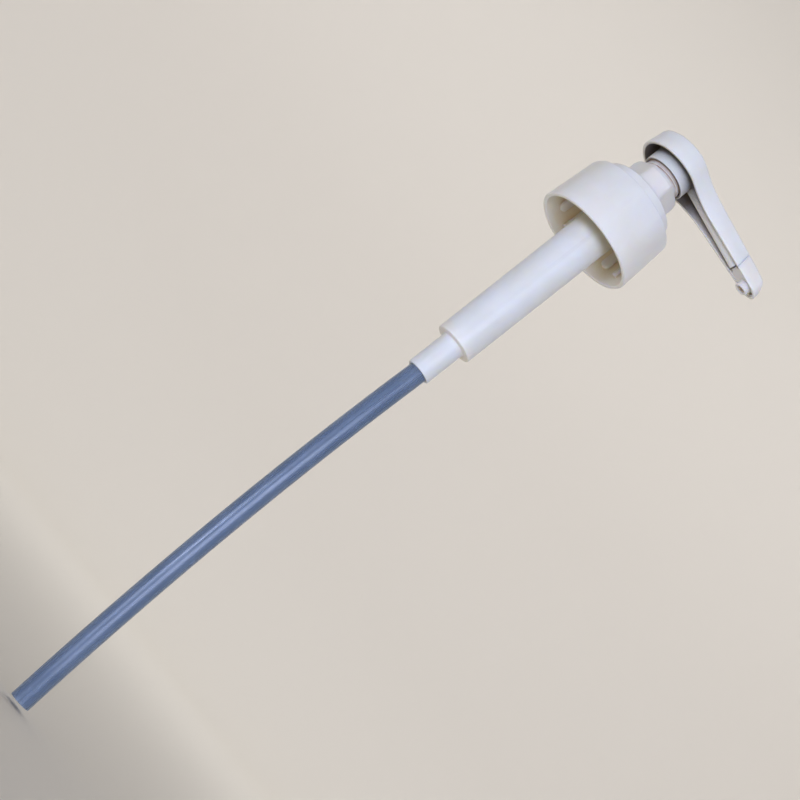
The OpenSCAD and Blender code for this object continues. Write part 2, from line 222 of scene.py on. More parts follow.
# Stage, in metres
STAGE_Z = -0.3375
STAGE_R = 1.5
STAGE_START_R = 0.001
SWEEP_R = 0.8
WALL_HEIGHT = 2.0
SWEEP_TURN = 96
PUMP_MIDDLE = (0.01, 0.0, -0.1)
COOL, SKY, PALE = (0.65, 0.73, 1.0), (0.8, 0.88, 1.0), (0.97, 0.97, 1.0)
SOFTBOXES = (  # name, place, target, size, watts, colour
    ("key_softbox", (0.4, -1.3, -0.16), PUMP_MIDDLE, (0.8, 0.34), 10.2, COOL),
    ("side_softbox", (-0.7, -1.1, -0.24), PUMP_MIDDLE, (0.5, 0.18), 5.6, COOL),
    ("back_softbox", (0.3, 1.2, 1.0), PUMP_MIDDLE, (1.0, 0.8), 3.0, SKY),
    ("wall_wash", (0.0, 0.7, 1.3), (0.0, 2.3, 0.3), (2.4, 0.5), 18.0, PALE),
)
CAMERA_PLACE = (0.00464, -0.63209, -0.25696)
CAMERA_TILT = math.radians(11.169)
CAMERA_ROLL = math.radians(51.584)


# ---- Small helpers ----


def linear(code):
    """Linear RGBA of an sRGB hex colour."""
    parts = [int(code[i : i + 2], 16) / 255 for i in (1, 3, 5)]
    return tuple(
        c / 12.92 if c <= 0.04045 else ((c + 0.055) / 1.055) ** 2.4 for c in parts
    ) + (1.0,)


def per_mm(size):
    """Texture scale that makes one feature about this many millimetres wide."""
    return 1000.0 / size


def arc(centre, radius, start_deg, end_deg, steps=EDGE_STEPS):
    """Points on an arc, both ends included."""
    x, y = centre
    turn = [math.radians(start_deg + (end_deg - start_deg) * i / steps) for i in range(steps + 1)]
    return [(x + radius * math.cos(a), y + radius * math.sin(a)) for a in turn]


def rounded(corners):
    """A closed outline from (r, z, edge radius) corners, each rounded by its radius."""
    out = []
    count = len(corners)
    for i, (r, z, edge) in enumerate(corners):
        here = Vector((r, z))
        before = Vector(corners[i - 1][:2])
        after = Vector(corners[(i + 1) % count][:2])
        if edge <= 0:
            out.append((r, z))
            continue
        one = (before - here).normalized()
        two = (after - here).normalized()
        half = one.angle(two) / 2
        cut = edge / math.tan(half)
        centre = here + (one + two).normalized() * (edge / math.sin(half))
        first = here + one * cut - centre
        last = here + two * cut - centre
        turn = first.angle_signed(last)
        for k in range(EDGE_STEPS + 1):
            spin = Matrix.Rotation(-turn * k / EDGE_STEPS, 2)
            spot = centre + spin @ first
            out.append((spot.x, spot.y))
    return out


def finish_mesh(name, bm):
    """An object from a bmesh drawn in millimetres, with smooth faces and crisp edges."""
    bmesh.ops.remove_doubles(bm, verts=bm.verts, dist=1e-5)
    bmesh.ops.dissolve_degenerate(bm, edges=bm.edges, dist=1e-6)
    bmesh.ops.recalc_face_normals(bm, faces=bm.faces)
    bmesh.ops.scale(bm, vec=(MM, MM, MM), verts=bm.verts)
    mesh = bpy.data.meshes.new(name)
    bm.to_mesh(mesh)
    bm.free()
    obj = bpy.data.objects.new(name, mesh)
    bpy.context.scene.collection.objects.link(obj)
    return obj


def smooth(obj):
    """Smooth shading that keeps the crisp edges crisp."""
    mesh = obj.data
    mesh.polygons.foreach_set("use_smooth", [True] * len(mesh.polygons))
    mesh.set_sharp_from_angle(angle=math.radians(SHARP_DEG))


def combine(base, other, how):
    """Joins other to base, or cuts it away, and removes other."""
    step = base.modifiers.new("combine", "BOOLEAN")
    step.operation = how
    step.object = other
    step.solver = "EXACT"
    bpy.context.view_layer.update()
    seen = base.evaluated_get(bpy.context.evaluated_depsgraph_get())
    mesh = bpy.data.meshes.new_from_object(seen)
    base.modifiers.clear()
    old = base.data
    base.data = mesh
    mesh.name = base.name
    bpy.data.meshes.remove(old)
    bpy.data.objects.remove(other)


def lathe(name, outline, turn=FINE_TURN, pull_in=None):
    """A turned solid from a closed (r, z) outline; pull_in may draw a point inwards."""
    bm = bmesh.new()
    rows = []
    for i in range(turn):
        angle = 2 * math.pi * i / turn
        row = []
        for r, z in outline:
            far = pull_in(angle, r, z) if pull_in else r
            row.append(bm.verts.new((far * math.cos(angle), far * math.sin(angle), z)))
        rows.append(row)
    count = len(outline)
    for i in range(turn):
        for k in range(count):
            here, there = rows[i], rows[(i + 1) % turn]
            m = (k + 1) % count
            bm.faces.new((here[k], there[k], there[m], here[m]))
    return finish_mesh(name, bm)


def sleeve(name, outer, bore, low_z, top_z, turn):
    """A turned sleeve; outer and bore are (radius, edge of the lower rim) pairs."""
    (outer_r, outer_edge), (bore_r, bore_edge) = outer, bore
    corners = [
        (outer_r, low_z, outer_edge),
        (outer_r, top_z, 0.0),
        (bore_r, top_z, 0.0),
        (bore_r, low_z, bore_edge),
    ]
    return lathe(name, rounded(corners), turn)


def band(bm, one, two):
    """Joins two closed rings of points with a band of faces."""
    for k in range(len(one)):
        m = (k + 1) % len(one)
        bm.faces.new((one[k], one[m], two[m], two[k]))


def loft(bm, rings):
    """Joins closed rings of points in turn and caps both ends."""
    for one, two in zip(rings, rings[1:]):
        band(bm, one, two)
    bm.faces.new(rings[0])
    bm.faces.new(list(reversed(rings[-1])))


def block(name, spans):
    """A box between (low, high) limits along x, y and z, for cutting."""
    bm = bmesh.new()
    size = [high - low for low, high in spans]
    middle = [(high + low) / 2 for low, high in spans]
    place = Matrix.Translation(middle) @ Matrix.Diagonal((*size, 1.0))
    bmesh.ops.create_cube(bm, size=1.0, matrix=place)
    return finish_mesh(name, bm)


def settle(obj, body, material, nodes):
    """Gives a finished piece its material, smooth shading and its body, and hides the nodes it
    stands for.
    """
    obj.data.materials.clear()
    obj.data.materials.append(material)
    smooth(obj)
    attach(obj, body)
    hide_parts(*nodes)


# ---- Materials ----


def add(tree, kind, inputs=None, **settings):
    """Adds a node, with its settings, its socket values and its links."""
    node = tree.nodes.new(kind)
    for key, value in settings.items():
        setattr(node, key, value)
    for key, value in (inputs or {}).items():
        if isinstance(value, bpy.types.NodeSocket):
            tree.links.new(value, node.inputs[key])
        else:
            node.inputs[key].default_value = value
    return node


def blank(name):
    """An empty node material and its tree."""
    material = bpy.data.materials.new(name)
    material.use_nodes = True
    material.node_tree.nodes.clear()
    return material, material.node_tree


def tone(tree, factor, low, high):
    """A colour between two colours, chosen by a 0 to 1 factor."""
    ramp = add(tree, "ShaderNodeValToRGB", {"Fac": factor})
    ramp.color_ramp.elements[0].color = low
    ramp.color_ramp.elements[0].position = 0.3
    ramp.color_ramp.elements[1].color = high
    ramp.color_ramp.elements[1].position = 0.7
    return ramp.outputs["Color"]


def between(tree, factor, low, high):
    """A number between two numbers, chosen by a 0 to 1 factor."""
    return add(
        tree,
        "ShaderNodeMapRange",
        {"Value": factor, "From Min": 0.3, "From Max": 0.7, "To Min": low, "To Max": high},
    ).outputs["Result"]


def moulded_polypropylene(name, light, shade, rough, painted_shade=None, peel_mm=PEEL_MM, proud_r=None):
    """Injection-moulded polypropylene.

    It is cloudy rather than opaque, so light soaks a few millimetres into it. Where a
    colour for its recesses is given, shade is painted into the base colour: places that
    ambient occlusion finds sheltered, by how much of their surroundings is open, are
    mixed towards that colour. This painted shade stands in for the dimmer, tan light
    deep in the recesses. The steel mould leaves a soft gloss with a faint orange peel,
    and the flow of the melt leaves wide patches that differ a little in gloss. What
    stands inwards of proud_r, such as the closure's lugs, gets no painted shade and
    stays white.
    """
    material, tree = blank(name)
    where = add(tree, "ShaderNodeTexCoord").outputs["Object"]
    flow = add(
        tree,
        "ShaderNodeTexNoise",
        {"Vector": where, "Scale": per_mm(22.0), "Detail": 3.0, "Distortion": 0.6},
    ).outputs["Fac"]
    peel = add(
        tree,
        "ShaderNodeTexNoise",
        {"Vector": where, "Scale": per_mm(peel_mm), "Detail": 4.0, "Roughness": 0.55},
    ).outputs["Fac"]
    sink = add(
        tree, "ShaderNodeTexNoise", {"Vector": where, "Scale": per_mm(9.0), "Detail": 1.0}
    ).outputs["Fac"]
    wave = add(
        tree, "ShaderNodeBump", {"Height": sink, "Strength": 0.25, "Distance": 0.06 * MM}
    ).outputs["Normal"]
    skin = add(
        tree,
        "ShaderNodeBump",
        {"Height": peel, "Strength": 0.5, "Distance": 0.02 * MM, "Normal": wave},
    ).outputs["Normal"]
    body = tone(tree, flow, shade, light)
    # Painted shade: where ambient occlusion finds the surroundings closed in, the base colour is
    # mixed towards the colour given for the recesses
    if painted_shade:
        open_sky = add(
            tree, "ShaderNodeAmbientOcclusion", {"Distance": PAINTED_SHADE_REACH * MM}, samples=8
        ).outputs["AO"]
        painted_shade_mask = between(tree, open_sky, 0.9, 0.0)
        # The painted shade is left off whatever stands inwards of proud_r
        if proud_r:
            flat = add(
                tree, "ShaderNodeVectorMath", {0: where, 1: (1.0, 1.0, 0.0)}, operation="MULTIPLY"
            ).outputs["Vector"]
            radius = add(tree, "ShaderNodeVectorMath", {0: flat}, operation="LENGTH")
            wall = add(
                tree,
                "ShaderNodeMapRange",
                {
                    "Value": radius.outputs["Value"],
                    "From Min": proud_r * MM,
                    "From Max": (proud_r + 0.5) * MM,
                },
            ).outputs["Result"]
            painted_shade_mask = add(tree, "ShaderNodeMath", {0: painted_shade_mask, 1: wall}, operation="MULTIPLY")
            painted_shade_mask = painted_shade_mask.outputs["Value"]
        body = add(tree, "ShaderNodeMixRGB", {"Fac": painted_shade_mask, "Color1": body, "Color2": painted_shade})
        body = body.outputs["Color"]
    shader = add(
        tree,
        "ShaderNodeBsdfPrincipled",
        {
            "Base Color": body,
            "Roughness": between(tree, flow, rough - 0.05, rough + 0.06),
            "IOR": 1.49,
            "Subsurface Weight": 0.65,
            "Subsurface Radius": (1.0, 0.75, 0.4),
            "Subsurface Scale": 4.0 * MM,
            "Normal": skin,
        },
    )
    add(tree, "ShaderNodeOutputMaterial", {"Surface": shader.outputs["BSDF"]})
    return material


def extruded_polyethylene(name, light, shade):
    """Extruded low-density polyethylene tube.

    Milky and see-through at once. The die draws faint lines along it, and the haze
    inside the wall scatters blue light most.
    """
    material, tree = blank(name)
    where = add(tree, "ShaderNodeTexCoord").outputs["Object"]
    stretched = add(
        tree,
        "ShaderNodeMapping",
        {"Vector": where, "Scale": (per_mm(2.2), per_mm(2.2), per_mm(160.0))},
    ).outputs["Vector"]
    lines = add(
        tree, "ShaderNodeTexNoise", {"Vector": stretched, "Scale": 1.0, "Detail": 3.0}
    ).outputs["Fac"]
    haze = add(
        tree, "ShaderNodeTexNoise", {"Vector": where, "Scale": per_mm(14.0), "Detail": 2.0}
    ).outputs["Fac"]
    drawn = add(
        tree, "ShaderNodeBump", {"Height": lines, "Strength": 0.15, "Distance": 0.02 * MM}
    ).outputs["Normal"]
    milky = add(
        tree,
        "ShaderNodeBsdfPrincipled",
        {
            "Base Color": tone(tree, haze, shade, light),
            "Roughness": between(tree, lines, 0.24, 0.32),
            "IOR": 1.51,
            "Transmission Weight": 0.68,
            "Normal": drawn,
        },
    )
    add(tree, "ShaderNodeOutputMaterial", {"Surface": milky.outputs["BSDF"]})
    return material


def closed_cell_foam(name, light, shade):
    """Die-cut polyethylene foam: matt, with a skin of half-millimetre cells."""
    material, tree = blank(name)
    where = add(tree, "ShaderNodeTexCoord").outputs["Object"]
    cells = add(
        tree, "ShaderNodeTexVoronoi", {"Vector": where, "Scale": per_mm(0.5)}
    ).outputs["Distance"]
    pits = add(
        tree, "ShaderNodeBump", {"Height": cells, "Strength": 0.6, "Distance": 0.08 * MM}
    ).outputs["Normal"]
    shader = add(
        tree,
        "ShaderNodeBsdfPrincipled",
        {
            "Base Color": tone(tree, cells, shade, light),
            "Roughness": 0.85,
            "IOR": 1.5,
            "Normal": pits,
        },
    )
    add(tree, "ShaderNodeOutputMaterial", {"Surface": shader.outputs["BSDF"]})
    return material


def moulded_nitrile(name, light, shade):
    """Compression-moulded nitrile rubber: near black, dull, with a talc bloom."""
    material, tree = blank(name)
    where = add(tree, "ShaderNodeTexCoord").outputs["Object"]
    bloom = add(
        tree,
        "ShaderNodeTexNoise",
        {"Vector": where, "Scale": per_mm(2.5), "Detail": 6.0, "Roughness": 0.6},
    ).outputs["Fac"]
    skin = add(
        tree, "ShaderNodeBump", {"Height": bloom, "Strength": 0.3, "Distance": 0.02 * MM}
    ).outputs["Normal"]
    shader = add(
        tree,
        "ShaderNodeBsdfPrincipled",
        {
            "Base Color": tone(tree, bloom, shade, light),
            "Roughness": between(tree, bloom, 0.5, 0.68),
            "IOR": 1.52,
            "Normal": skin,
        },
    )
    add(tree, "ShaderNodeOutputMaterial", {"Surface": shader.outputs["BSDF"]})
    return material


def drawn_steel(name, light, shade, rough, line_mm):
    """Stainless steel, drawn as wire or ground as a ball, with fine working marks."""
    material, tree = blank(name)
    where = add(tree, "ShaderNodeTexCoord").outputs["Object"]
    marks = add(
        tree, "ShaderNodeTexNoise", {"Vector": where, "Scale": per_mm(line_mm), "Detail": 5.0}
    ).outputs["Fac"]
    shader = add(
        tree,
        "ShaderNodeBsdfPrincipled",
        {
            "Base Color": tone(tree, marks, shade, light),
            "Metallic": 1.0,
            "Roughness": between(tree, marks, rough * 0.7, rough * 1.3),
        },
    )
    add(tree, "ShaderNodeOutputMaterial", {"Surface": shader.outputs["BSDF"]})
    return material


def painted_backdrop(name, colour):
    """Matt painted studio sweep, with a faint roller texture."""
    material, tree = blank(name)
    where = add(tree, "ShaderNodeTexCoord").outputs["Object"]
    roller = add(
        tree, "ShaderNodeTexNoise", {"Vector": where, "Scale": per_mm(6.0), "Detail": 2.0}
    ).outputs["Fac"]
    shader = add(
        tree,
        "ShaderNodeBsdfPrincipled",
        {
            "Base Color": colour,
            "Roughness": between(tree, roller, 0.85, 0.95),
            "Specular IOR Level": 0.2,
        },
    )
    add(tree, "ShaderNodeOutputMaterial", {"Surface": shader.outputs["BSDF"]})
    return material


# The third column names the colour of the painted shade that ambient occlusion mixes into the
# recesses
WHITE_FINISHES = {  # name, roughness, colour of the recesses, width of the peel, proud_r
    "white_pp": ("head", 0.42, "head_painted_shade", PEEL_MM, None),
    "white_pp_tip": ("tip", 0.42, "tip_painted_shade", PEEL_MM, None),
    "white_pp_closure": ("closure", 0.42, "closure_painted_shade", PEEL_MM, LUG_WHITE_R),
    "white_pp_collar": ("collar", 0.4, "collar_painted_shade", PEEL_MM, None),
    "white_pp_cylinder": ("barrel", 0.4, "closure_painted_shade", BARREL_PEEL_MM, None),
}
INNER_FINISHES = {  # maker, name, two colours, and a steel's roughness and width of marks
    "gasket_foam": (closed_cell_foam, "closed_cell_polyethylene_foam", "#d9d8d0", "#b9b8b0"),
    "seal_rubber": (moulded_nitrile, "moulded_nitrile_rubber", "#34353a", "#1b1c1f"),
    "spring_steel": (drawn_steel, "drawn_stainless_wire", "#c9c9cb", "#a9a8a8", 0.3, 0.3),
    "ball_steel": (drawn_steel, "ground_stainless_ball", "#d6d6d9", "#bdbdc0", 0.1, 0.2),
}
_made = {}


def make_finish(finish):
    """Makes a finish with the colours set in the panel."""
    tint = bpy.context.scene.pump_colours
    white, warm = tuple(tint.white_plastic), tuple(tint.white_plastic_shade)
    if finish in WHITE_FINISHES:
        # The colour looked up here is painted shade for the recesses
        part, rough, painted_shade, peel_mm, proud_r = WHITE_FINISHES[finish]
        name, sheltered = f"moulded_polypropylene_{part}", tuple(getattr(tint, painted_shade))
        return moulded_polypropylene(name, white, warm, rough, sheltered, peel_mm, proud_r)
    if finish == "natural_pp":
        natural = tuple(tint.natural_plastic)
        return moulded_polypropylene("moulded_polypropylene_natural", natural, warm, 0.38)
    if finish == "dip_tube_pe":
        clear, haze = tuple(tint.tube), tuple(tint.tube_shade)
        return extruded_polyethylene("extruded_polyethylene_tube", clear, haze)
    if finish in INNER_FINISHES:
        maker, name, light, shade, *marks = INNER_FINISHES[finish]
        return maker(name, linear(light), linear(shade), *marks)
    raise RuntimeError(f"no finish is defined for {finish}")


def finish_for(finish):
    """The material of a slot, or of a white piece with its own colour of painted shade in the
    recesses, made once.
    """
    if finish not in _made:
        _made[finish] = make_finish(finish)
    return _made[finish]


# ---- Shapes of the head, the arm and its tip ----


def low_edge(x):
    """Underside of the cap and arm: level, then drooping."""
    return RIM_Z - math.tan(DROOP) * max(0.0, x - LEVEL_X)


def top_edge(x):
    """Top of the cap and arm: level, then sloping, with a soft turn between."""
    past = x - TOP_X
    if abs(past) < TOP_BLEND:
        past = (past + TOP_BLEND) ** 2 / (4 * TOP_BLEND)
    return CAP_TOP_Z - math.tan(TOP_SLOPE) * max(0.0, past)


def duct_height(x):
    """Height of the duct's axis along the arm."""
    return DUCT_END_Z - math.tan(DUCT_SLOPE) * (x - JOINT_X)


def tip_top(x):
    """Top of the tip: the arm's slope, rolling over to the front."""
    middle = REACH - CROWN_R + CROWN_LEAD
    if x <= middle:
        fade = math.exp(-CROWN_BLEND * (0.1 + (middle - x) * 0.5))
        return top_edge(x) - math.log(1 + fade) / CROWN_BLEND
    rise = math.sqrt(max(0.0, CROWN_R**2 - (x - middle) ** 2))
    flat, crown = top_edge(x), low_edge(REACH) + CROWN_RISE + rise
    near = math.exp(-CROWN_BLEND * abs(flat - crown))
    return min(flat, crown) - math.log(1 + near) / CROWN_BLEND


def blend_centre():
    """Centre of the round that leads from the cap into the arm's side."""
    c = ARM_HALF_W + BLEND_R * math.sqrt(1 + ARM_TAPER**2)
    s = CAP_R + BLEND_R
    k = 1 + ARM_TAPER**2
    x = (ARM_TAPER * c + math.sqrt((ARM_TAPER * c) ** 2 - k * (c * c - s * s))) / k
    return Vector((x, c - ARM_TAPER * x))


def side_ends():
    """Where the arm's straight side starts and where it meets the tip's round end."""
    out_way = Vector((math.sin(SIDE), math.cos(SIDE)))
    tip_centre = Vector((REACH - TIP_END_R, 0))
    return blend_centre() - BLEND_R * out_way, tip_centre + TIP_END_R * out_way


def side_points(start, end, count):
    """Points on the arm's straight side, each as (x, y, outward x, outward y)."""
    first, last = side_ends()
    out = []
    for i in range(count + 1):
        x = start + (end - start) * i / count
        y = first.y + (last.y - first.y) * (x - first.x) / (last.x - first.x)
        out.append((x, y, math.sin(SIDE), math.cos(SIDE)))
    return out


def head_outline():
    """Half the outline of the cap and arm, from the tip joint to the back."""
    bx, by = blend_centre()
    near = [JOINT_X - d for d in JOINT_ROWS]
    out = [side_points(x, x, 1)[0] for x in near]
    out += side_points(near[-1] - ARM_ROW, side_ends()[0].x, ARM_STEPS)
    first = math.atan2(-math.cos(SIDE), -math.sin(SIDE))
    last = math.atan2(-by, -bx)
    for i in range(1, BLEND_STEPS):
        a = first + (last - first) * i / BLEND_STEPS
        out.append(
            (bx + BLEND_R * math.cos(a), by + BLEND_R * math.sin(a), -math.cos(a), -math.sin(a))
        )
    first = math.atan2(by, bx)
    for i in range(CAP_STEPS + 1):
        a = first + (math.pi - first) * i / CAP_STEPS
        out.append((CAP_R * math.cos(a), CAP_R * math.sin(a), math.cos(a), math.sin(a)))
    return out


def tip_outline():
    """Half the outline of the tip, from the joint to its front."""
    end_x = REACH - TIP_END_R
    near = [JOINT_X + d for d in JOINT_ROWS]
    out = [side_points(x, x, 1)[0] for x in near]
    out += side_points(near[-1] + TIP_ROW, side_ends()[1].x - TIP_ROW / 2, TIP_STEPS)
    start = math.pi / 2 - SIDE
    for i in range(TIP_END_STEPS + 1):
        a = start * (1 - i / TIP_END_STEPS)
        out.append(
            (end_x + TIP_END_R * math.cos(a), TIP_END_R * math.sin(a), math.cos(a), math.sin(a))
        )
    return out


def shell_section(wall, edge, ceiling):
    """One cut through the wall, from the ceiling round to the top.

    Each point is its inset, the height it follows, its rise over that height and
    whether it is on the outside.
    """
    f = RIM_EDGE
    depth = min(INNER_EDGE, 0.8 * (ceiling(0) - low_edge(0)))
    out = []
    for i in range(EDGE_STEPS + 1):
        a = math.pi / 2 * (1 - i / EDGE_STEPS)
        out.append(
            (wall + depth * (1 - math.cos(a)), "ceiling", -depth * (1 - math.sin(a)), False)
        )
    for i in range(LIP_STEPS + 1):
        a = math.pi / 2 * i / LIP_STEPS
        out.append((wall - f + f * math.cos(a), "low", f - f * math.sin(a), False))
    for i in range(LIP_STEPS + 1):
        a = math.pi / 2 * i / LIP_STEPS
        out.append((f - f * math.sin(a), "low", f - f * math.cos(a), True))
    for i in range(EDGE_STEPS + 1):
        a = math.pi / 2 * i / EDGE_STEPS
        out.append((edge - edge * math.cos(a), "top", -edge * (1 - math.sin(a)), True))
    return out


def draft(x, edge_name):
    """How far the draft moves the cap's wall inwards at its rim or at its top."""
    near, far = CAP_DRAFT_SPAN
    weight = min(1.0, max(0.0, (far - x) / (far - near)))
    weight *= weight * (3 - 2 * weight)
    return -CAP_DRAFT * weight if edge_name == "low" else CAP_DRAFT * weight


def lean(x, z, middle):
    """Moves a point near the joint along x, so that the joint is square to the arm."""
    weight = max(0.0, 1 - abs(x - JOINT_X) / LEAN_REACH)
    return x - math.tan(DROOP) * (z - middle) * weight


def shell(name, half, top, ceiling, wall, edge, across=8):
    """A moulded shell: outer wall, rounded rim, inner wall, roof and ceiling."""
    bm = bmesh.new()
    heights = {"low": low_edge, "top": top, "ceiling": ceiling}
    section = shell_section(wall, edge, ceiling)
    middle = (low_edge(JOINT_X) + top_edge(JOINT_X)) / 2
    sides = []
    for mirror in (1, -1):
        rows = []
        for i, (x, y, nx, ny) in enumerate(half):
            relief = JOINT_RELIEF[i] if i < len(JOINT_RELIEF) else 0.0
            row = []
            for inset, edge_name, rise, outer in section:
                d = inset + (relief if outer else 0.0) + draft(x, edge_name)
                px, py = x - d * nx, max(0.0, y - d * ny)
                z = heights[edge_name](px) + rise
                if outer:
                    z = min(max(z, low_edge(px) + relief), top(px) - relief)
                row.append(bm.verts.new((lean(px, z, middle), mirror * py, z)))
            rows.append(row)
        sides.append(rows)
    left, right = sides
    for rows in sides:
        for one, two in zip(rows, rows[1:]):
            for k in range(len(section) - 1):
                bm.faces.new((one[k], two[k], two[k + 1], one[k + 1]))
    spans = {}
    for end in (0, -1):
        strips = []
        for one, two in zip(left, right):
            a, b = one[end].co, two[end].co
            strip = [one[end]]
            for j in range(1, across):
                strip.append(bm.verts.new(a.lerp(b, j / across)))
            strip.append(two[end])
            strips.append(strip)
        for one, two in zip(strips, strips[1:]):
            for j in range(across):
                bm.faces.new((one[j], one[j + 1], two[j + 1], two[j]))
        spans[end] = strips[0]
    edge_loop = list(left[0]) + spans[-1][1:-1] + list(reversed(right[0]))
    edge_loop += list(reversed(spans[0][1:-1]))
    bm.faces.new(edge_loop)
    return finish_mesh(name, bm)


def rod(name, radius, start, end, turn=64):
    """A solid round bar between two points."""
    bm = bmesh.new()
    a, b = Vector(start), Vector(end)
    way = b - a
    place = Matrix.Translation((a + b) / 2) @ way.to_track_quat("Z", "Y").to_matrix().to_4x4()
    bmesh.ops.create_cone(
        bm,
        cap_ends=True,
        segments=turn,
        radius1=radius,
        radius2=radius,
        depth=way.length,
        matrix=place,
    )
    return finish_mesh(name, bm)


def prism(name, outline, y_low, y_high):
    """A flat plate drawn as (x, z) corners and given a thickness along y."""
    bm = bmesh.new()
    near = [bm.verts.new((x, y_low, z)) for x, z in outline]
    far = [bm.verts.new((x, y_high, z)) for x, z in outline]
    loft(bm, (near, far))
    return finish_mesh(name, bm)


# ---- Settings a user would change ----


def length(name, text, value):
    """A length in the panel, given in millimetres."""
    return bpy.props.FloatProperty(
        name=name, description=text, default=value * MM, min=0.0, unit="LENGTH", precision=4
    )


def colour(name, text, code):
    """A colour in the panel, given as an sRGB hex value."""
    return bpy.props.FloatVectorProperty(
        name=name,
        description=text,
        default=linear(code),
        size=4,
        min=0.0,
        max=1.0,
        subtype="COLOR",
    )


class PumpSizes(bpy.types.PropertyGroup):
    """Sizes of the pieces that are drawn from scratch."""

    rim_diameter: length("Closure rim", "Outside diameter of the closure at its rim", 54.0)
    skirt_top_diameter: length("Skirt top", "Outside diameter of the skirt at its top", 50.8)
    skirt_drop: length("Skirt drop", "How far the skirt reaches below the gasket", 21.0)
    step_top: length("Step height", "Height of the closure's top above the gasket", 12.4)
    shoulder_edge: length("Shoulder edge", "Rounding of the closure's shoulder", 0.4)
    flat_distance: length("Collar flats", "Distance from the axis to the foot of each flat", 12.2)
    tube_diameter: length("Tube", "Outside diameter of the dip tube", 10.0)
    tube_bore: length("Tube bore", "Bore of the dip tube", 8.0)
    tube_length: length("Tube length", "Length of the tube below the spigot", 217.0)
    tube_lean: bpy.props.FloatProperty(
        name="Tube lean",
        description="How far the tube leans back where it leaves the spigot",
        default=math.radians(1.6),
        subtype="ANGLE",
    )
    tube_bend: bpy.props.FloatProperty(
        name="Tube bend",
        description="Total turn of the tube along its length",
        default=math.radians(5.7),
        subtype="ANGLE",
    )


class PumpColours(bpy.types.PropertyGroup):
    """Colours of the plastics and of the stage."""

    white_plastic: colour("White plastic", "Lit colour of the white mouldings", "#f0eeea")
    white_plastic_shade: colour("White shade", "Deeper patches of the mouldings", "#ebe7df")
    # The four colours below are painted shade, mixed into the white plastic by ambient occlusion
    # where it is closed in
    closure_painted_shade: colour("Closure recess", "Colour deep inside the closure", "#ddd3b9")
    collar_painted_shade: colour("Collar recess", "Colour of the collar's sheltered thread", "#a67c4e")
    head_painted_shade: colour("Head recess", "Colour deep under the cap and arm", "#55514c")
    tip_painted_shade: colour("Tip recess", "Colour inside the spout's tip", "#c9c4ba")
    natural_plastic: colour("Natural plastic", "Colour of the undyed mouldings", "#e6e1d2")
    tube: colour("Tube", "Colour of the dip tube", "#9db2cf")
    tube_shade: colour("Tube haze", "Hazier patches of the dip tube", "#8ea5c4")
    backdrop: colour("Backdrop", "Colour of the floor and the sweep", "#e2ddd4")


# ---- One operator for each piece ----


class PUMP_OT_closure(bpy.types.Operator):
    """Screw closure with a stepped top, a tapered skirt and lugs inside it"""

    bl_idname = "pump.closure"
    bl_label = "Screw closure"

    def lug(self, angle, width, low_z, round_end):
        """One lug on the inside of the skirt, with rounded edges."""
        half = width / 2
        if round_end:
            foot = arc((0.0, low_z + half), half, 180.0, 360.0, 14)
        else:
            side, foot_z = half - STOP_CORNER, low_z + STOP_CORNER
            foot = arc((-side, foot_z), STOP_CORNER, 180.0, 270.0, 3)
            foot += arc((side, foot_z), STOP_CORNER, 270.0, 360.0, 3)
        outline = [(-half, LUG_TOP_Z)] + foot + [(half, LUG_TOP_Z)]
        spine_low, spine_top = low_z + half, (low_z + LUG_TOP_Z) / 2 + LUG_SPINE_RISE
        bm = bmesh.new()
        rings = []
        for depth, inset in LUG_LEVELS:
            ring = []
            for t, z in outline:
                spot = Vector((t, z))
                toward = Vector((0.0, min(max(z, spine_low), spine_top))) - spot
                if toward.length > inset:
                    spot += toward.normalized() * inset
                ring.append(bm.verts.new((LUG_INNER_R + depth, spot.x, spot.y)))
            rings.append(ring)
        loft(bm, rings)
        spin = Matrix.Rotation(math.radians(angle), 3, "Z")
        bmesh.ops.rotate(bm, verts=bm.verts, matrix=spin)
        return finish_mesh("lug", bm)

    def execute(self, context):
        sizes = context.scene.pump_sizes
        rim_r = sizes.rim_diameter / MM / 2
        top_r = sizes.skirt_top_diameter / MM / 2
        low_z = -sizes.skirt_drop / MM
        step_z = sizes.step_top / MM
        edge = sizes.shoulder_edge / MM
        slope = (top_r - rim_r) / (SHOULDER_Z - low_z)
        ceiling_z = SHOULDER_Z - WALL
        inner_r = rim_r + slope * (ceiling_z - low_z) - WALL
        outline = rounded(
            [
                (rim_r, low_z, 0.5),
                (top_r, SHOULDER_Z, edge),
                (STEP_R, SHOULDER_Z, 0.4),
                (STEP_R, step_z, 0.6),
                (CLOSURE_HOLE_R, step_z, 0.2),
                (CLOSURE_HOLE_R, step_z - WALL, 0.2),
                (STEP_R - WALL, step_z - WALL, 0.3),
                (STEP_R - WALL, ceiling_z, 0.3),
                (inner_r, ceiling_z, 0.6),
                (rim_r - WALL, low_z, 0.5),
            ]
        )

        def pad(angle, r, z):
            """Draws the outer wall in a little over each shallow pad of the skirt."""
            if z > SHOULDER_Z + 0.01 or r < rim_r + slope * (z - low_z) - OUTER_SKIN:
                return r
            off = (math.degrees(angle) - PAD_MIDDLE_DEG + 45.0) % 90.0 - 45.0
            return r - PAD_DEPTH * max(0.0, 1 - (off / PAD_HALF_DEG) ** 2)

        closure = lathe("screw_closure", outline, FINE_TURN, pad)
        for i in range(4):
            angle = LUG_FIRST_DEG + 90.0 * i
            combine(closure, self.lug(angle, STOP_W, STOP_LOW_Z, False), "UNION")
            finger = self.lug(angle + LUG_SPAN_DEG, FINGER_W, FINGER_LOW_Z, True)
            combine(closure, finger, "UNION")
        settle(closure, "closure", finish_for("white_pp_closure"), ["closure_cap"])
        return {"FINISHED"}


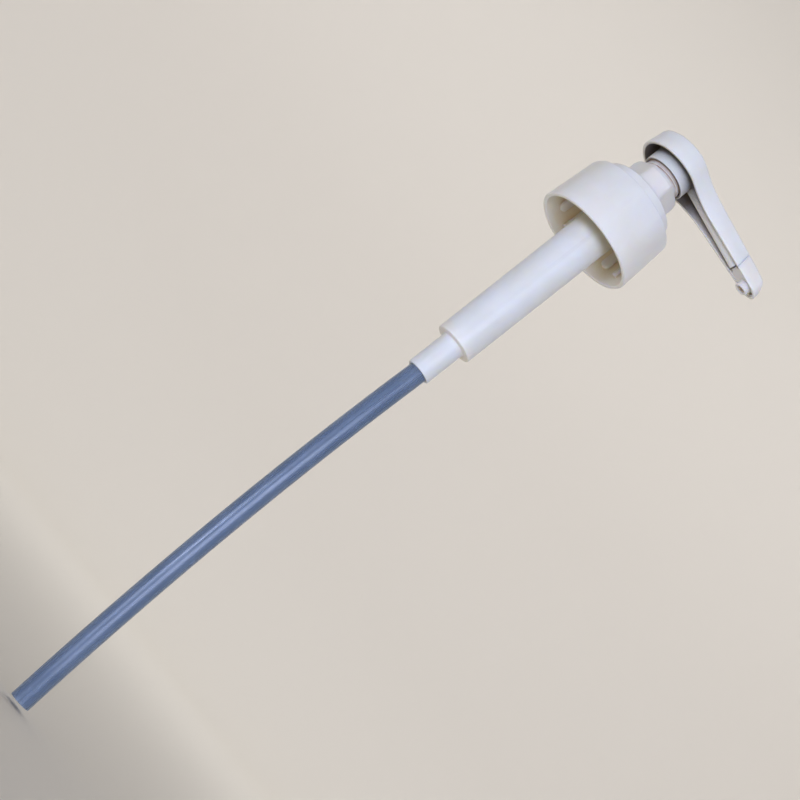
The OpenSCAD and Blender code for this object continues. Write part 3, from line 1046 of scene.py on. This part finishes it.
class PUMP_OT_barrel(bpy.types.Operator):
    """Pump cylinder with its flange, long barrel and lower spigot"""

    bl_idname = "pump.barrel"
    bl_label = "Pump cylinder"

    def execute(self, context):
        flange_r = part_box("pump_cylinder")[1].x / MM
        outline = rounded(
            [
                (BARREL_TOP_R, FLANGE_LOW_Z, 0.3),
                (flange_r, FLANGE_LOW_Z, 0.3),
                (flange_r, FLANGE_TOP_Z, 0.3),
                (NECK_R, FLANGE_TOP_Z, 0.3),
                (NECK_R, NECK_TOP_Z, 0.3),
                (PLUG_R, NECK_TOP_Z, 0.2),
                (PLUG_R, PLUG_Z, 0.0),
                (BORE_R, PLUG_Z, 0.0),
                (BORE_R, FLOOR_Z, 0.0),
                (SEAT_HOLE_R, FLOOR_Z, 0.0),
                (SEAT_HOLE_R, SOCKET_TOP_Z, 0.0),
                (SOCKET_R, SOCKET_TOP_Z, 0.0),
                (SOCKET_R, SPIGOT_END_Z, 0.25),
                (SPIGOT_R, SPIGOT_END_Z, 0.35),
                (SPIGOT_R, BARREL_END_Z, 0.5),
                (BARREL_LOW_R, BARREL_END_Z, 0.45),
            ]
        )
        barrel = lathe("pump_barrel", outline, BARREL_TURN)
        vent = rod("vent", VENT_R, (0, 0, VENT_Z), (0, -VENT_REACH, VENT_Z), VENT_TURN)
        combine(barrel, vent, "DIFFERENCE")
        slot = "white_pp_cylinder"
        settle(barrel, "cylinder", finish_for(slot), ["pump_cylinder"])
        return {"FINISHED"}


class PUMP_OT_tube(bpy.types.Operator):
    """Translucent dip tube, pressed into the spigot and set in a long curve"""

    bl_idname = "pump.tube"
    bl_label = "Dip tube"

    def execute(self, context):
        sizes = context.scene.pump_sizes
        outer, inner = sizes.tube_diameter / MM / 2, sizes.tube_bore / MM / 2
        start, bend = sizes.tube_lean, sizes.tube_bend
        radius = sizes.tube_length / MM / bend
        stations = [(Vector((0, 0, z)), 0.0) for z in (SOCKET_TOP_Z, SPIGOT_END_Z + TUBE_GRIP)]
        for i in range(TUBE_ROWS + 1):
            tilt = start - bend * i / TUBE_ROWS
            x = radius * (math.cos(start) - math.cos(tilt))
            z = radius * (math.sin(start) - math.sin(tilt))
            stations.append((Vector((x, 0, SPIGOT_END_Z - z)), tilt))
        bm = bmesh.new()
        rows = []
        for spot, tilt in stations:
            out_way = Vector((math.cos(tilt), 0, -math.sin(tilt)))
            row = []
            for wall_r in (outer, inner):
                for i in range(TUBE_TURN):
                    a = 2 * math.pi * i / TUBE_TURN
                    place = spot + out_way * (wall_r * math.cos(a))
                    row.append(bm.verts.new(place + Vector((0, wall_r * math.sin(a), 0))))
            rows.append(row)
        for one, two in zip(rows, rows[1:]):
            band(bm, one[:TUBE_TURN], two[:TUBE_TURN])
            band(bm, one[TUBE_TURN:], two[TUBE_TURN:])
        for row in (rows[0], rows[-1]):
            band(bm, row[:TUBE_TURN], row[TUBE_TURN:])
        tube = finish_mesh("suction_tube", bm)
        settle(tube, "cylinder", finish_for("dip_tube_pe"), ["dip_tube"])
        return {"FINISHED"}


class PUMP_OT_collar(bpy.types.Operator):
    """Locking collar with three flats and a threaded upstand"""

    bl_idname = "pump.collar"
    bl_label = "Locking collar"

    def thread(self):
        """The raised thread, fading out at both ends."""
        bm = bmesh.new()
        rings = []
        root = UPSTAND_R - THREAD_SINK
        for i in range(THREAD_STEPS + 1):
            part = i / THREAD_STEPS
            angle = 2 * math.pi * THREAD_TURNS * part
            z = THREAD_START_Z + THREAD_PITCH * THREAD_TURNS * part
            fade = min(1.0, part / THREAD_FADE, (1 - part) / THREAD_FADE)
            crest = UPSTAND_R + (THREAD_CREST_R - UPSTAND_R) * max(0.02, fade)
            ring = []
            for r, dz in (
                (root, -THREAD_ROOT_W / 2),
                (crest, -THREAD_CREST_W / 2),
                (crest, THREAD_CREST_W / 2),
                (root, THREAD_ROOT_W / 2),
            ):
                ring.append(bm.verts.new((r * math.cos(angle), r * math.sin(angle), z + dz)))
            rings.append(ring)
        loft(bm, rings)
        return finish_mesh("collar_thread", bm)

    def execute(self, context):
        flat = context.scene.pump_sizes.flat_distance / MM

        def pull_in(angle, r, z):
            """Draws the collar's side in to each flat, with a soft turn between them."""
            if z < COLLAR_FLANGE_TOP_Z - 1e-6 or r < UPSTAND_R + 0.5 or r > COLLAR_R + 0.01:
                return r
            near = r
            for middle in COLLAR_FLATS_DEG:
                lead = math.cos(angle - math.radians(middle))
                if lead > 0.6:
                    leant = (z - COLLAR_FLANGE_TOP_Z) * math.tan(COLLAR_FLAT_LEAN)
                    wall = (flat - leant) / lead
                    power = math.exp(-COLLAR_BLEND * near) + math.exp(-COLLAR_BLEND * wall)
                    near = -math.log(power) / COLLAR_BLEND
            return near

        outline = rounded(
            [
                (COLLAR_PLUG_R, COLLAR_LOW_Z, 0.2),
                (COLLAR_PLUG_R, PLUG_Z, 0.0),
                (PLUG_R, PLUG_Z, 0.0),
                (PLUG_R, COLLAR_FLANGE_Z, 0.0),
                (COLLAR_FLANGE_R, COLLAR_FLANGE_Z, 0.3),
                (COLLAR_FLANGE_R, COLLAR_FLANGE_TOP_Z, 0.3),
                (COLLAR_R, COLLAR_FLANGE_TOP_Z, 0.25),
                (COLLAR_R, COLLAR_BEVEL_Z, 0.8),
                (COLLAR_TOP_R, COLLAR_TOP_Z, 0.35),
                (UPSTAND_R, COLLAR_TOP_Z, 0.2),
                (UPSTAND_R, UPSTAND_TOP_Z, 0.3),
                (GUIDE_R, UPSTAND_TOP_Z, 0.2),
                (GUIDE_R, GUIDE_Z, 0.0),
                (COLLAR_CORE_R, GUIDE_Z, 0.0),
                (COLLAR_CORE_R, COLLAR_LOW_Z, 0.2),
            ]
        )
        collar = lathe("locking_collar", outline, COLLAR_TURN, pull_in)
        combine(collar, self.thread(), "UNION")
        settle(collar, "cylinder", finish_for("white_pp_collar"), ["lock_collar"])
        return {"FINISHED"}


class PUMP_OT_head(bpy.types.Operator):
    """Thumb pad and spout arm, hollow underneath, with the boss and the duct"""

    bl_idname = "pump.head"
    bl_label = "Head and arm"

    def execute(self, context):
        roof_z = CAP_TOP_Z - HEAD_WALL / 2
        start, end, far = STEM_R - 1, JOINT_X - 0.1, JOINT_X - 1.0

        def ceiling(x):
            """The cavity's roof, one wall below the top."""
            return top_edge(x) - HEAD_WALL

        head = shell("pump_head", head_outline(), top_edge, ceiling, HEAD_WALL, HEAD_EDGE)
        duct = rod("duct", DUCT_R, (start, 0, duct_height(start)), (end, 0, duct_height(end)))
        web = prism(
            "web",
            [
                (HUB_R - 1, duct_height(HUB_R - 1)),
                (far, duct_height(far)),
                (far, top_edge(far) - HEAD_WALL / 2),
                (HUB_R - 1, top_edge(HUB_R - 1) - HEAD_WALL / 2),
            ],
            -WEB_T / 2,
            WEB_T / 2,
        )
        boss_bore = (BOSS_BORE_R, 0.25)
        boss = sleeve("boss", (BOSS_R, 0.25), boss_bore, BOSS_LOW_Z, roof_z, BOSS_TURN)
        hub = sleeve("hub", (HUB_R, 0.3), (STEM_R, 0.2), HUB_LOW_Z, roof_z + 0.2, HUB_TURN)
        for piece in (duct, web, boss, hub):
            combine(head, piece, "UNION")
        settle(head, "plunger", finish_for("white_pp"), ["actuator_head"])
        return {"FINISHED"}


class PUMP_OT_tip(bpy.types.Operator):
    """Nozzle tip with its round spout, pocket and joint notches"""

    bl_idname = "pump.tip"
    bl_label = "Nozzle tip"

    def execute(self, context):
        def ceiling(x):
            """The tip is solid but for a shallow hollow under it."""
            return low_edge(x) + TIP_FLOOR

        tip = shell("nozzle_end", tip_outline(), tip_top, ceiling, TIP_WALL, HEAD_EDGE)
        rim, axis = (SPOUT_R, 0.35), (SPOUT_AXIS_R, 0.0)
        spout = sleeve("spout", rim, axis, SPOUT_END_Z, SPOUT_TOP_Z, SPOUT_TURN)
        spout.data.transform(Matrix.Translation((SPOUT_X * MM, 0, 0)))
        combine(tip, spout, "UNION")
        mouth, roof = (SPOUT_X, 0, SPOUT_END_Z - 2), (SPOUT_X, 0, SPOUT_TOP_Z - SPOUT_ROOF)
        bore = rod("bore", SPOUT_BORE_R, mouth, roof, BORE_TURN)
        combine(tip, bore, "DIFFERENCE")
        combine(tip, block("pocket", POCKET), "DIFFERENCE")
        for side in (1, -1):
            spans = (NOTCH_X, tuple(sorted(side * y for y in NOTCH_Y)), NOTCH_Z)
            combine(tip, block("notch", spans), "DIFFERENCE")
        settle(tip, "plunger", finish_for("white_pp_tip"), ["nozzle_tip"])
        return {"FINISHED"}


class PUMP_OT_inner(bpy.types.Operator):
    """Finishes of the pieces inside the pump, kept as they are modelled"""

    bl_idname = "pump.inner"
    bl_label = "Inner pieces"

    def execute(self, context):
        slots = {row["node"]: row["material_slot"] for row in frame["record"]["subparts"]}
        for name, obj in frame["nodes"].items():
            if obj.hide_render:
                continue
            obj.data.materials.clear()
            obj.data.materials.append(finish_for(slots[name]))
            smooth(obj)
        return {"FINISHED"}


class PUMP_OT_stage(bpy.types.Operator):
    """Pale floor sweeping up to a round backdrop, soft lights and the camera"""

    bl_idname = "pump.stage"
    bl_label = "Studio stage"

    def softbox(self, name, place, target, size, power, tint):
        """One rectangular softbox, facing its target."""
        data = bpy.data.lights.new(name, "AREA")
        data.shape = "RECTANGLE"
        data.size, data.size_y = size
        data.energy = power
        data.color = tint
        lamp = bpy.data.objects.new(name, data)
        bpy.context.scene.collection.objects.link(lamp)
        lamp.location = place
        way = Vector(target) - Vector(place)
        lamp.rotation_euler = way.to_track_quat("-Z", "Y").to_euler()

    def execute(self, context):
        scene = context.scene
        bm = bmesh.new()
        outline = [(STAGE_START_R, 0.0), (STAGE_R / 2, 0.0)]
        outline += [(r, z + SWEEP_R) for r, z in arc((STAGE_R, 0.0), SWEEP_R, -90.0, 0.0, 24)]
        outline.append((STAGE_R + SWEEP_R, WALL_HEIGHT))
        rows = []
        for i in range(SWEEP_TURN):
            a = 2 * math.pi * i / SWEEP_TURN
            spots = [(r * math.cos(a), r * math.sin(a), z + STAGE_Z) for r, z in outline]
            rows.append([bm.verts.new(spot) for spot in spots])
        for i in range(SWEEP_TURN):
            one, two = rows[i], rows[(i + 1) % SWEEP_TURN]
            for k in range(len(outline) - 1):
                bm.faces.new((one[k], two[k], two[k + 1], one[k + 1]))
        bmesh.ops.remove_doubles(bm, verts=bm.verts, dist=2 * STAGE_START_R)
        mesh = bpy.data.meshes.new("studio_sweep")
        bm.to_mesh(mesh)
        bm.free()
        mesh.polygons.foreach_set("use_smooth", [True] * len(mesh.polygons))
        sweep = bpy.data.objects.new("studio_sweep", mesh)
        scene.collection.objects.link(sweep)
        mesh.materials.append(
            painted_backdrop("painted_studio_sweep", tuple(scene.pump_colours.backdrop))
        )

        # Plain colour handling keeps the white plastic as white as it is lit
        scene.view_settings.view_transform = "Standard"
        scene.view_settings.look = "None"

        world = bpy.data.worlds.new("studio_air")
        scene.world = world
        world.use_nodes = True
        background = world.node_tree.nodes["Background"]
        background.inputs["Color"].default_value = linear("#ece8e2")
        background.inputs["Strength"].default_value = 0.4

        for softbox in SOFTBOXES:
            self.softbox(*softbox)

        data = bpy.data.cameras.new("studio_camera")
        data.sensor_width = 36.0
        data.lens = 66.4
        data.clip_start = 0.01
        data.clip_end = 20.0
        camera = bpy.data.objects.new("studio_camera", data)
        scene.collection.objects.link(camera)
        # Tilted up from the level, then rolled about its own line of sight
        turn = Matrix.Rotation(math.pi / 2 + CAMERA_TILT, 4, "X")
        roll = Matrix.Rotation(CAMERA_ROLL, 4, "Z")
        camera.matrix_world = Matrix.Translation(CAMERA_PLACE) @ turn @ roll
        scene.camera = camera
        return {"FINISHED"}


class PUMP_PT_panel(bpy.types.Panel):
    """The pump's pieces and settings"""

    bl_idname = "PUMP_PT_panel"
    bl_label = "Plunger pump"
    bl_space_type = "VIEW_3D"
    bl_region_type = "UI"
    bl_category = "Pump"

    def draw(self, context):
        layout = self.layout
        for group in (context.scene.pump_sizes, context.scene.pump_colours):
            column = layout.column(align=True)
            for key in group.__annotations__:
                column.prop(group, key)
        column = layout.column()
        for operator in OPERATORS:
            column.operator(operator.bl_idname)


OPERATORS = (
    PUMP_OT_closure,
    PUMP_OT_barrel,
    PUMP_OT_tube,
    PUMP_OT_collar,
    PUMP_OT_head,
    PUMP_OT_tip,
    PUMP_OT_inner,
    PUMP_OT_stage,
)
CLASSES = (PumpSizes, PumpColours, *OPERATORS, PUMP_PT_panel)


def register():
    """Registers the classes and hangs the settings on the scene."""
    for cls in CLASSES:
        bpy.utils.register_class(cls)
    bpy.types.Scene.pump_sizes = bpy.props.PointerProperty(type=PumpSizes)
    bpy.types.Scene.pump_colours = bpy.props.PointerProperty(type=PumpColours)


def unregister():
    """Takes the settings off the scene and unregisters the classes."""
    del bpy.types.Scene.pump_colours
    del bpy.types.Scene.pump_sizes
    for cls in reversed(CLASSES):
        bpy.utils.unregister_class(cls)


def main():
    """Builds the pieces and the stage."""
    register()
    bpy.ops.pump.closure()
    bpy.ops.pump.barrel()
    bpy.ops.pump.tube()
    bpy.ops.pump.collar()
    bpy.ops.pump.head()
    bpy.ops.pump.tip()
    bpy.ops.pump.inner()
    bpy.ops.pump.stage()


if __name__ == "__main__":
    main()
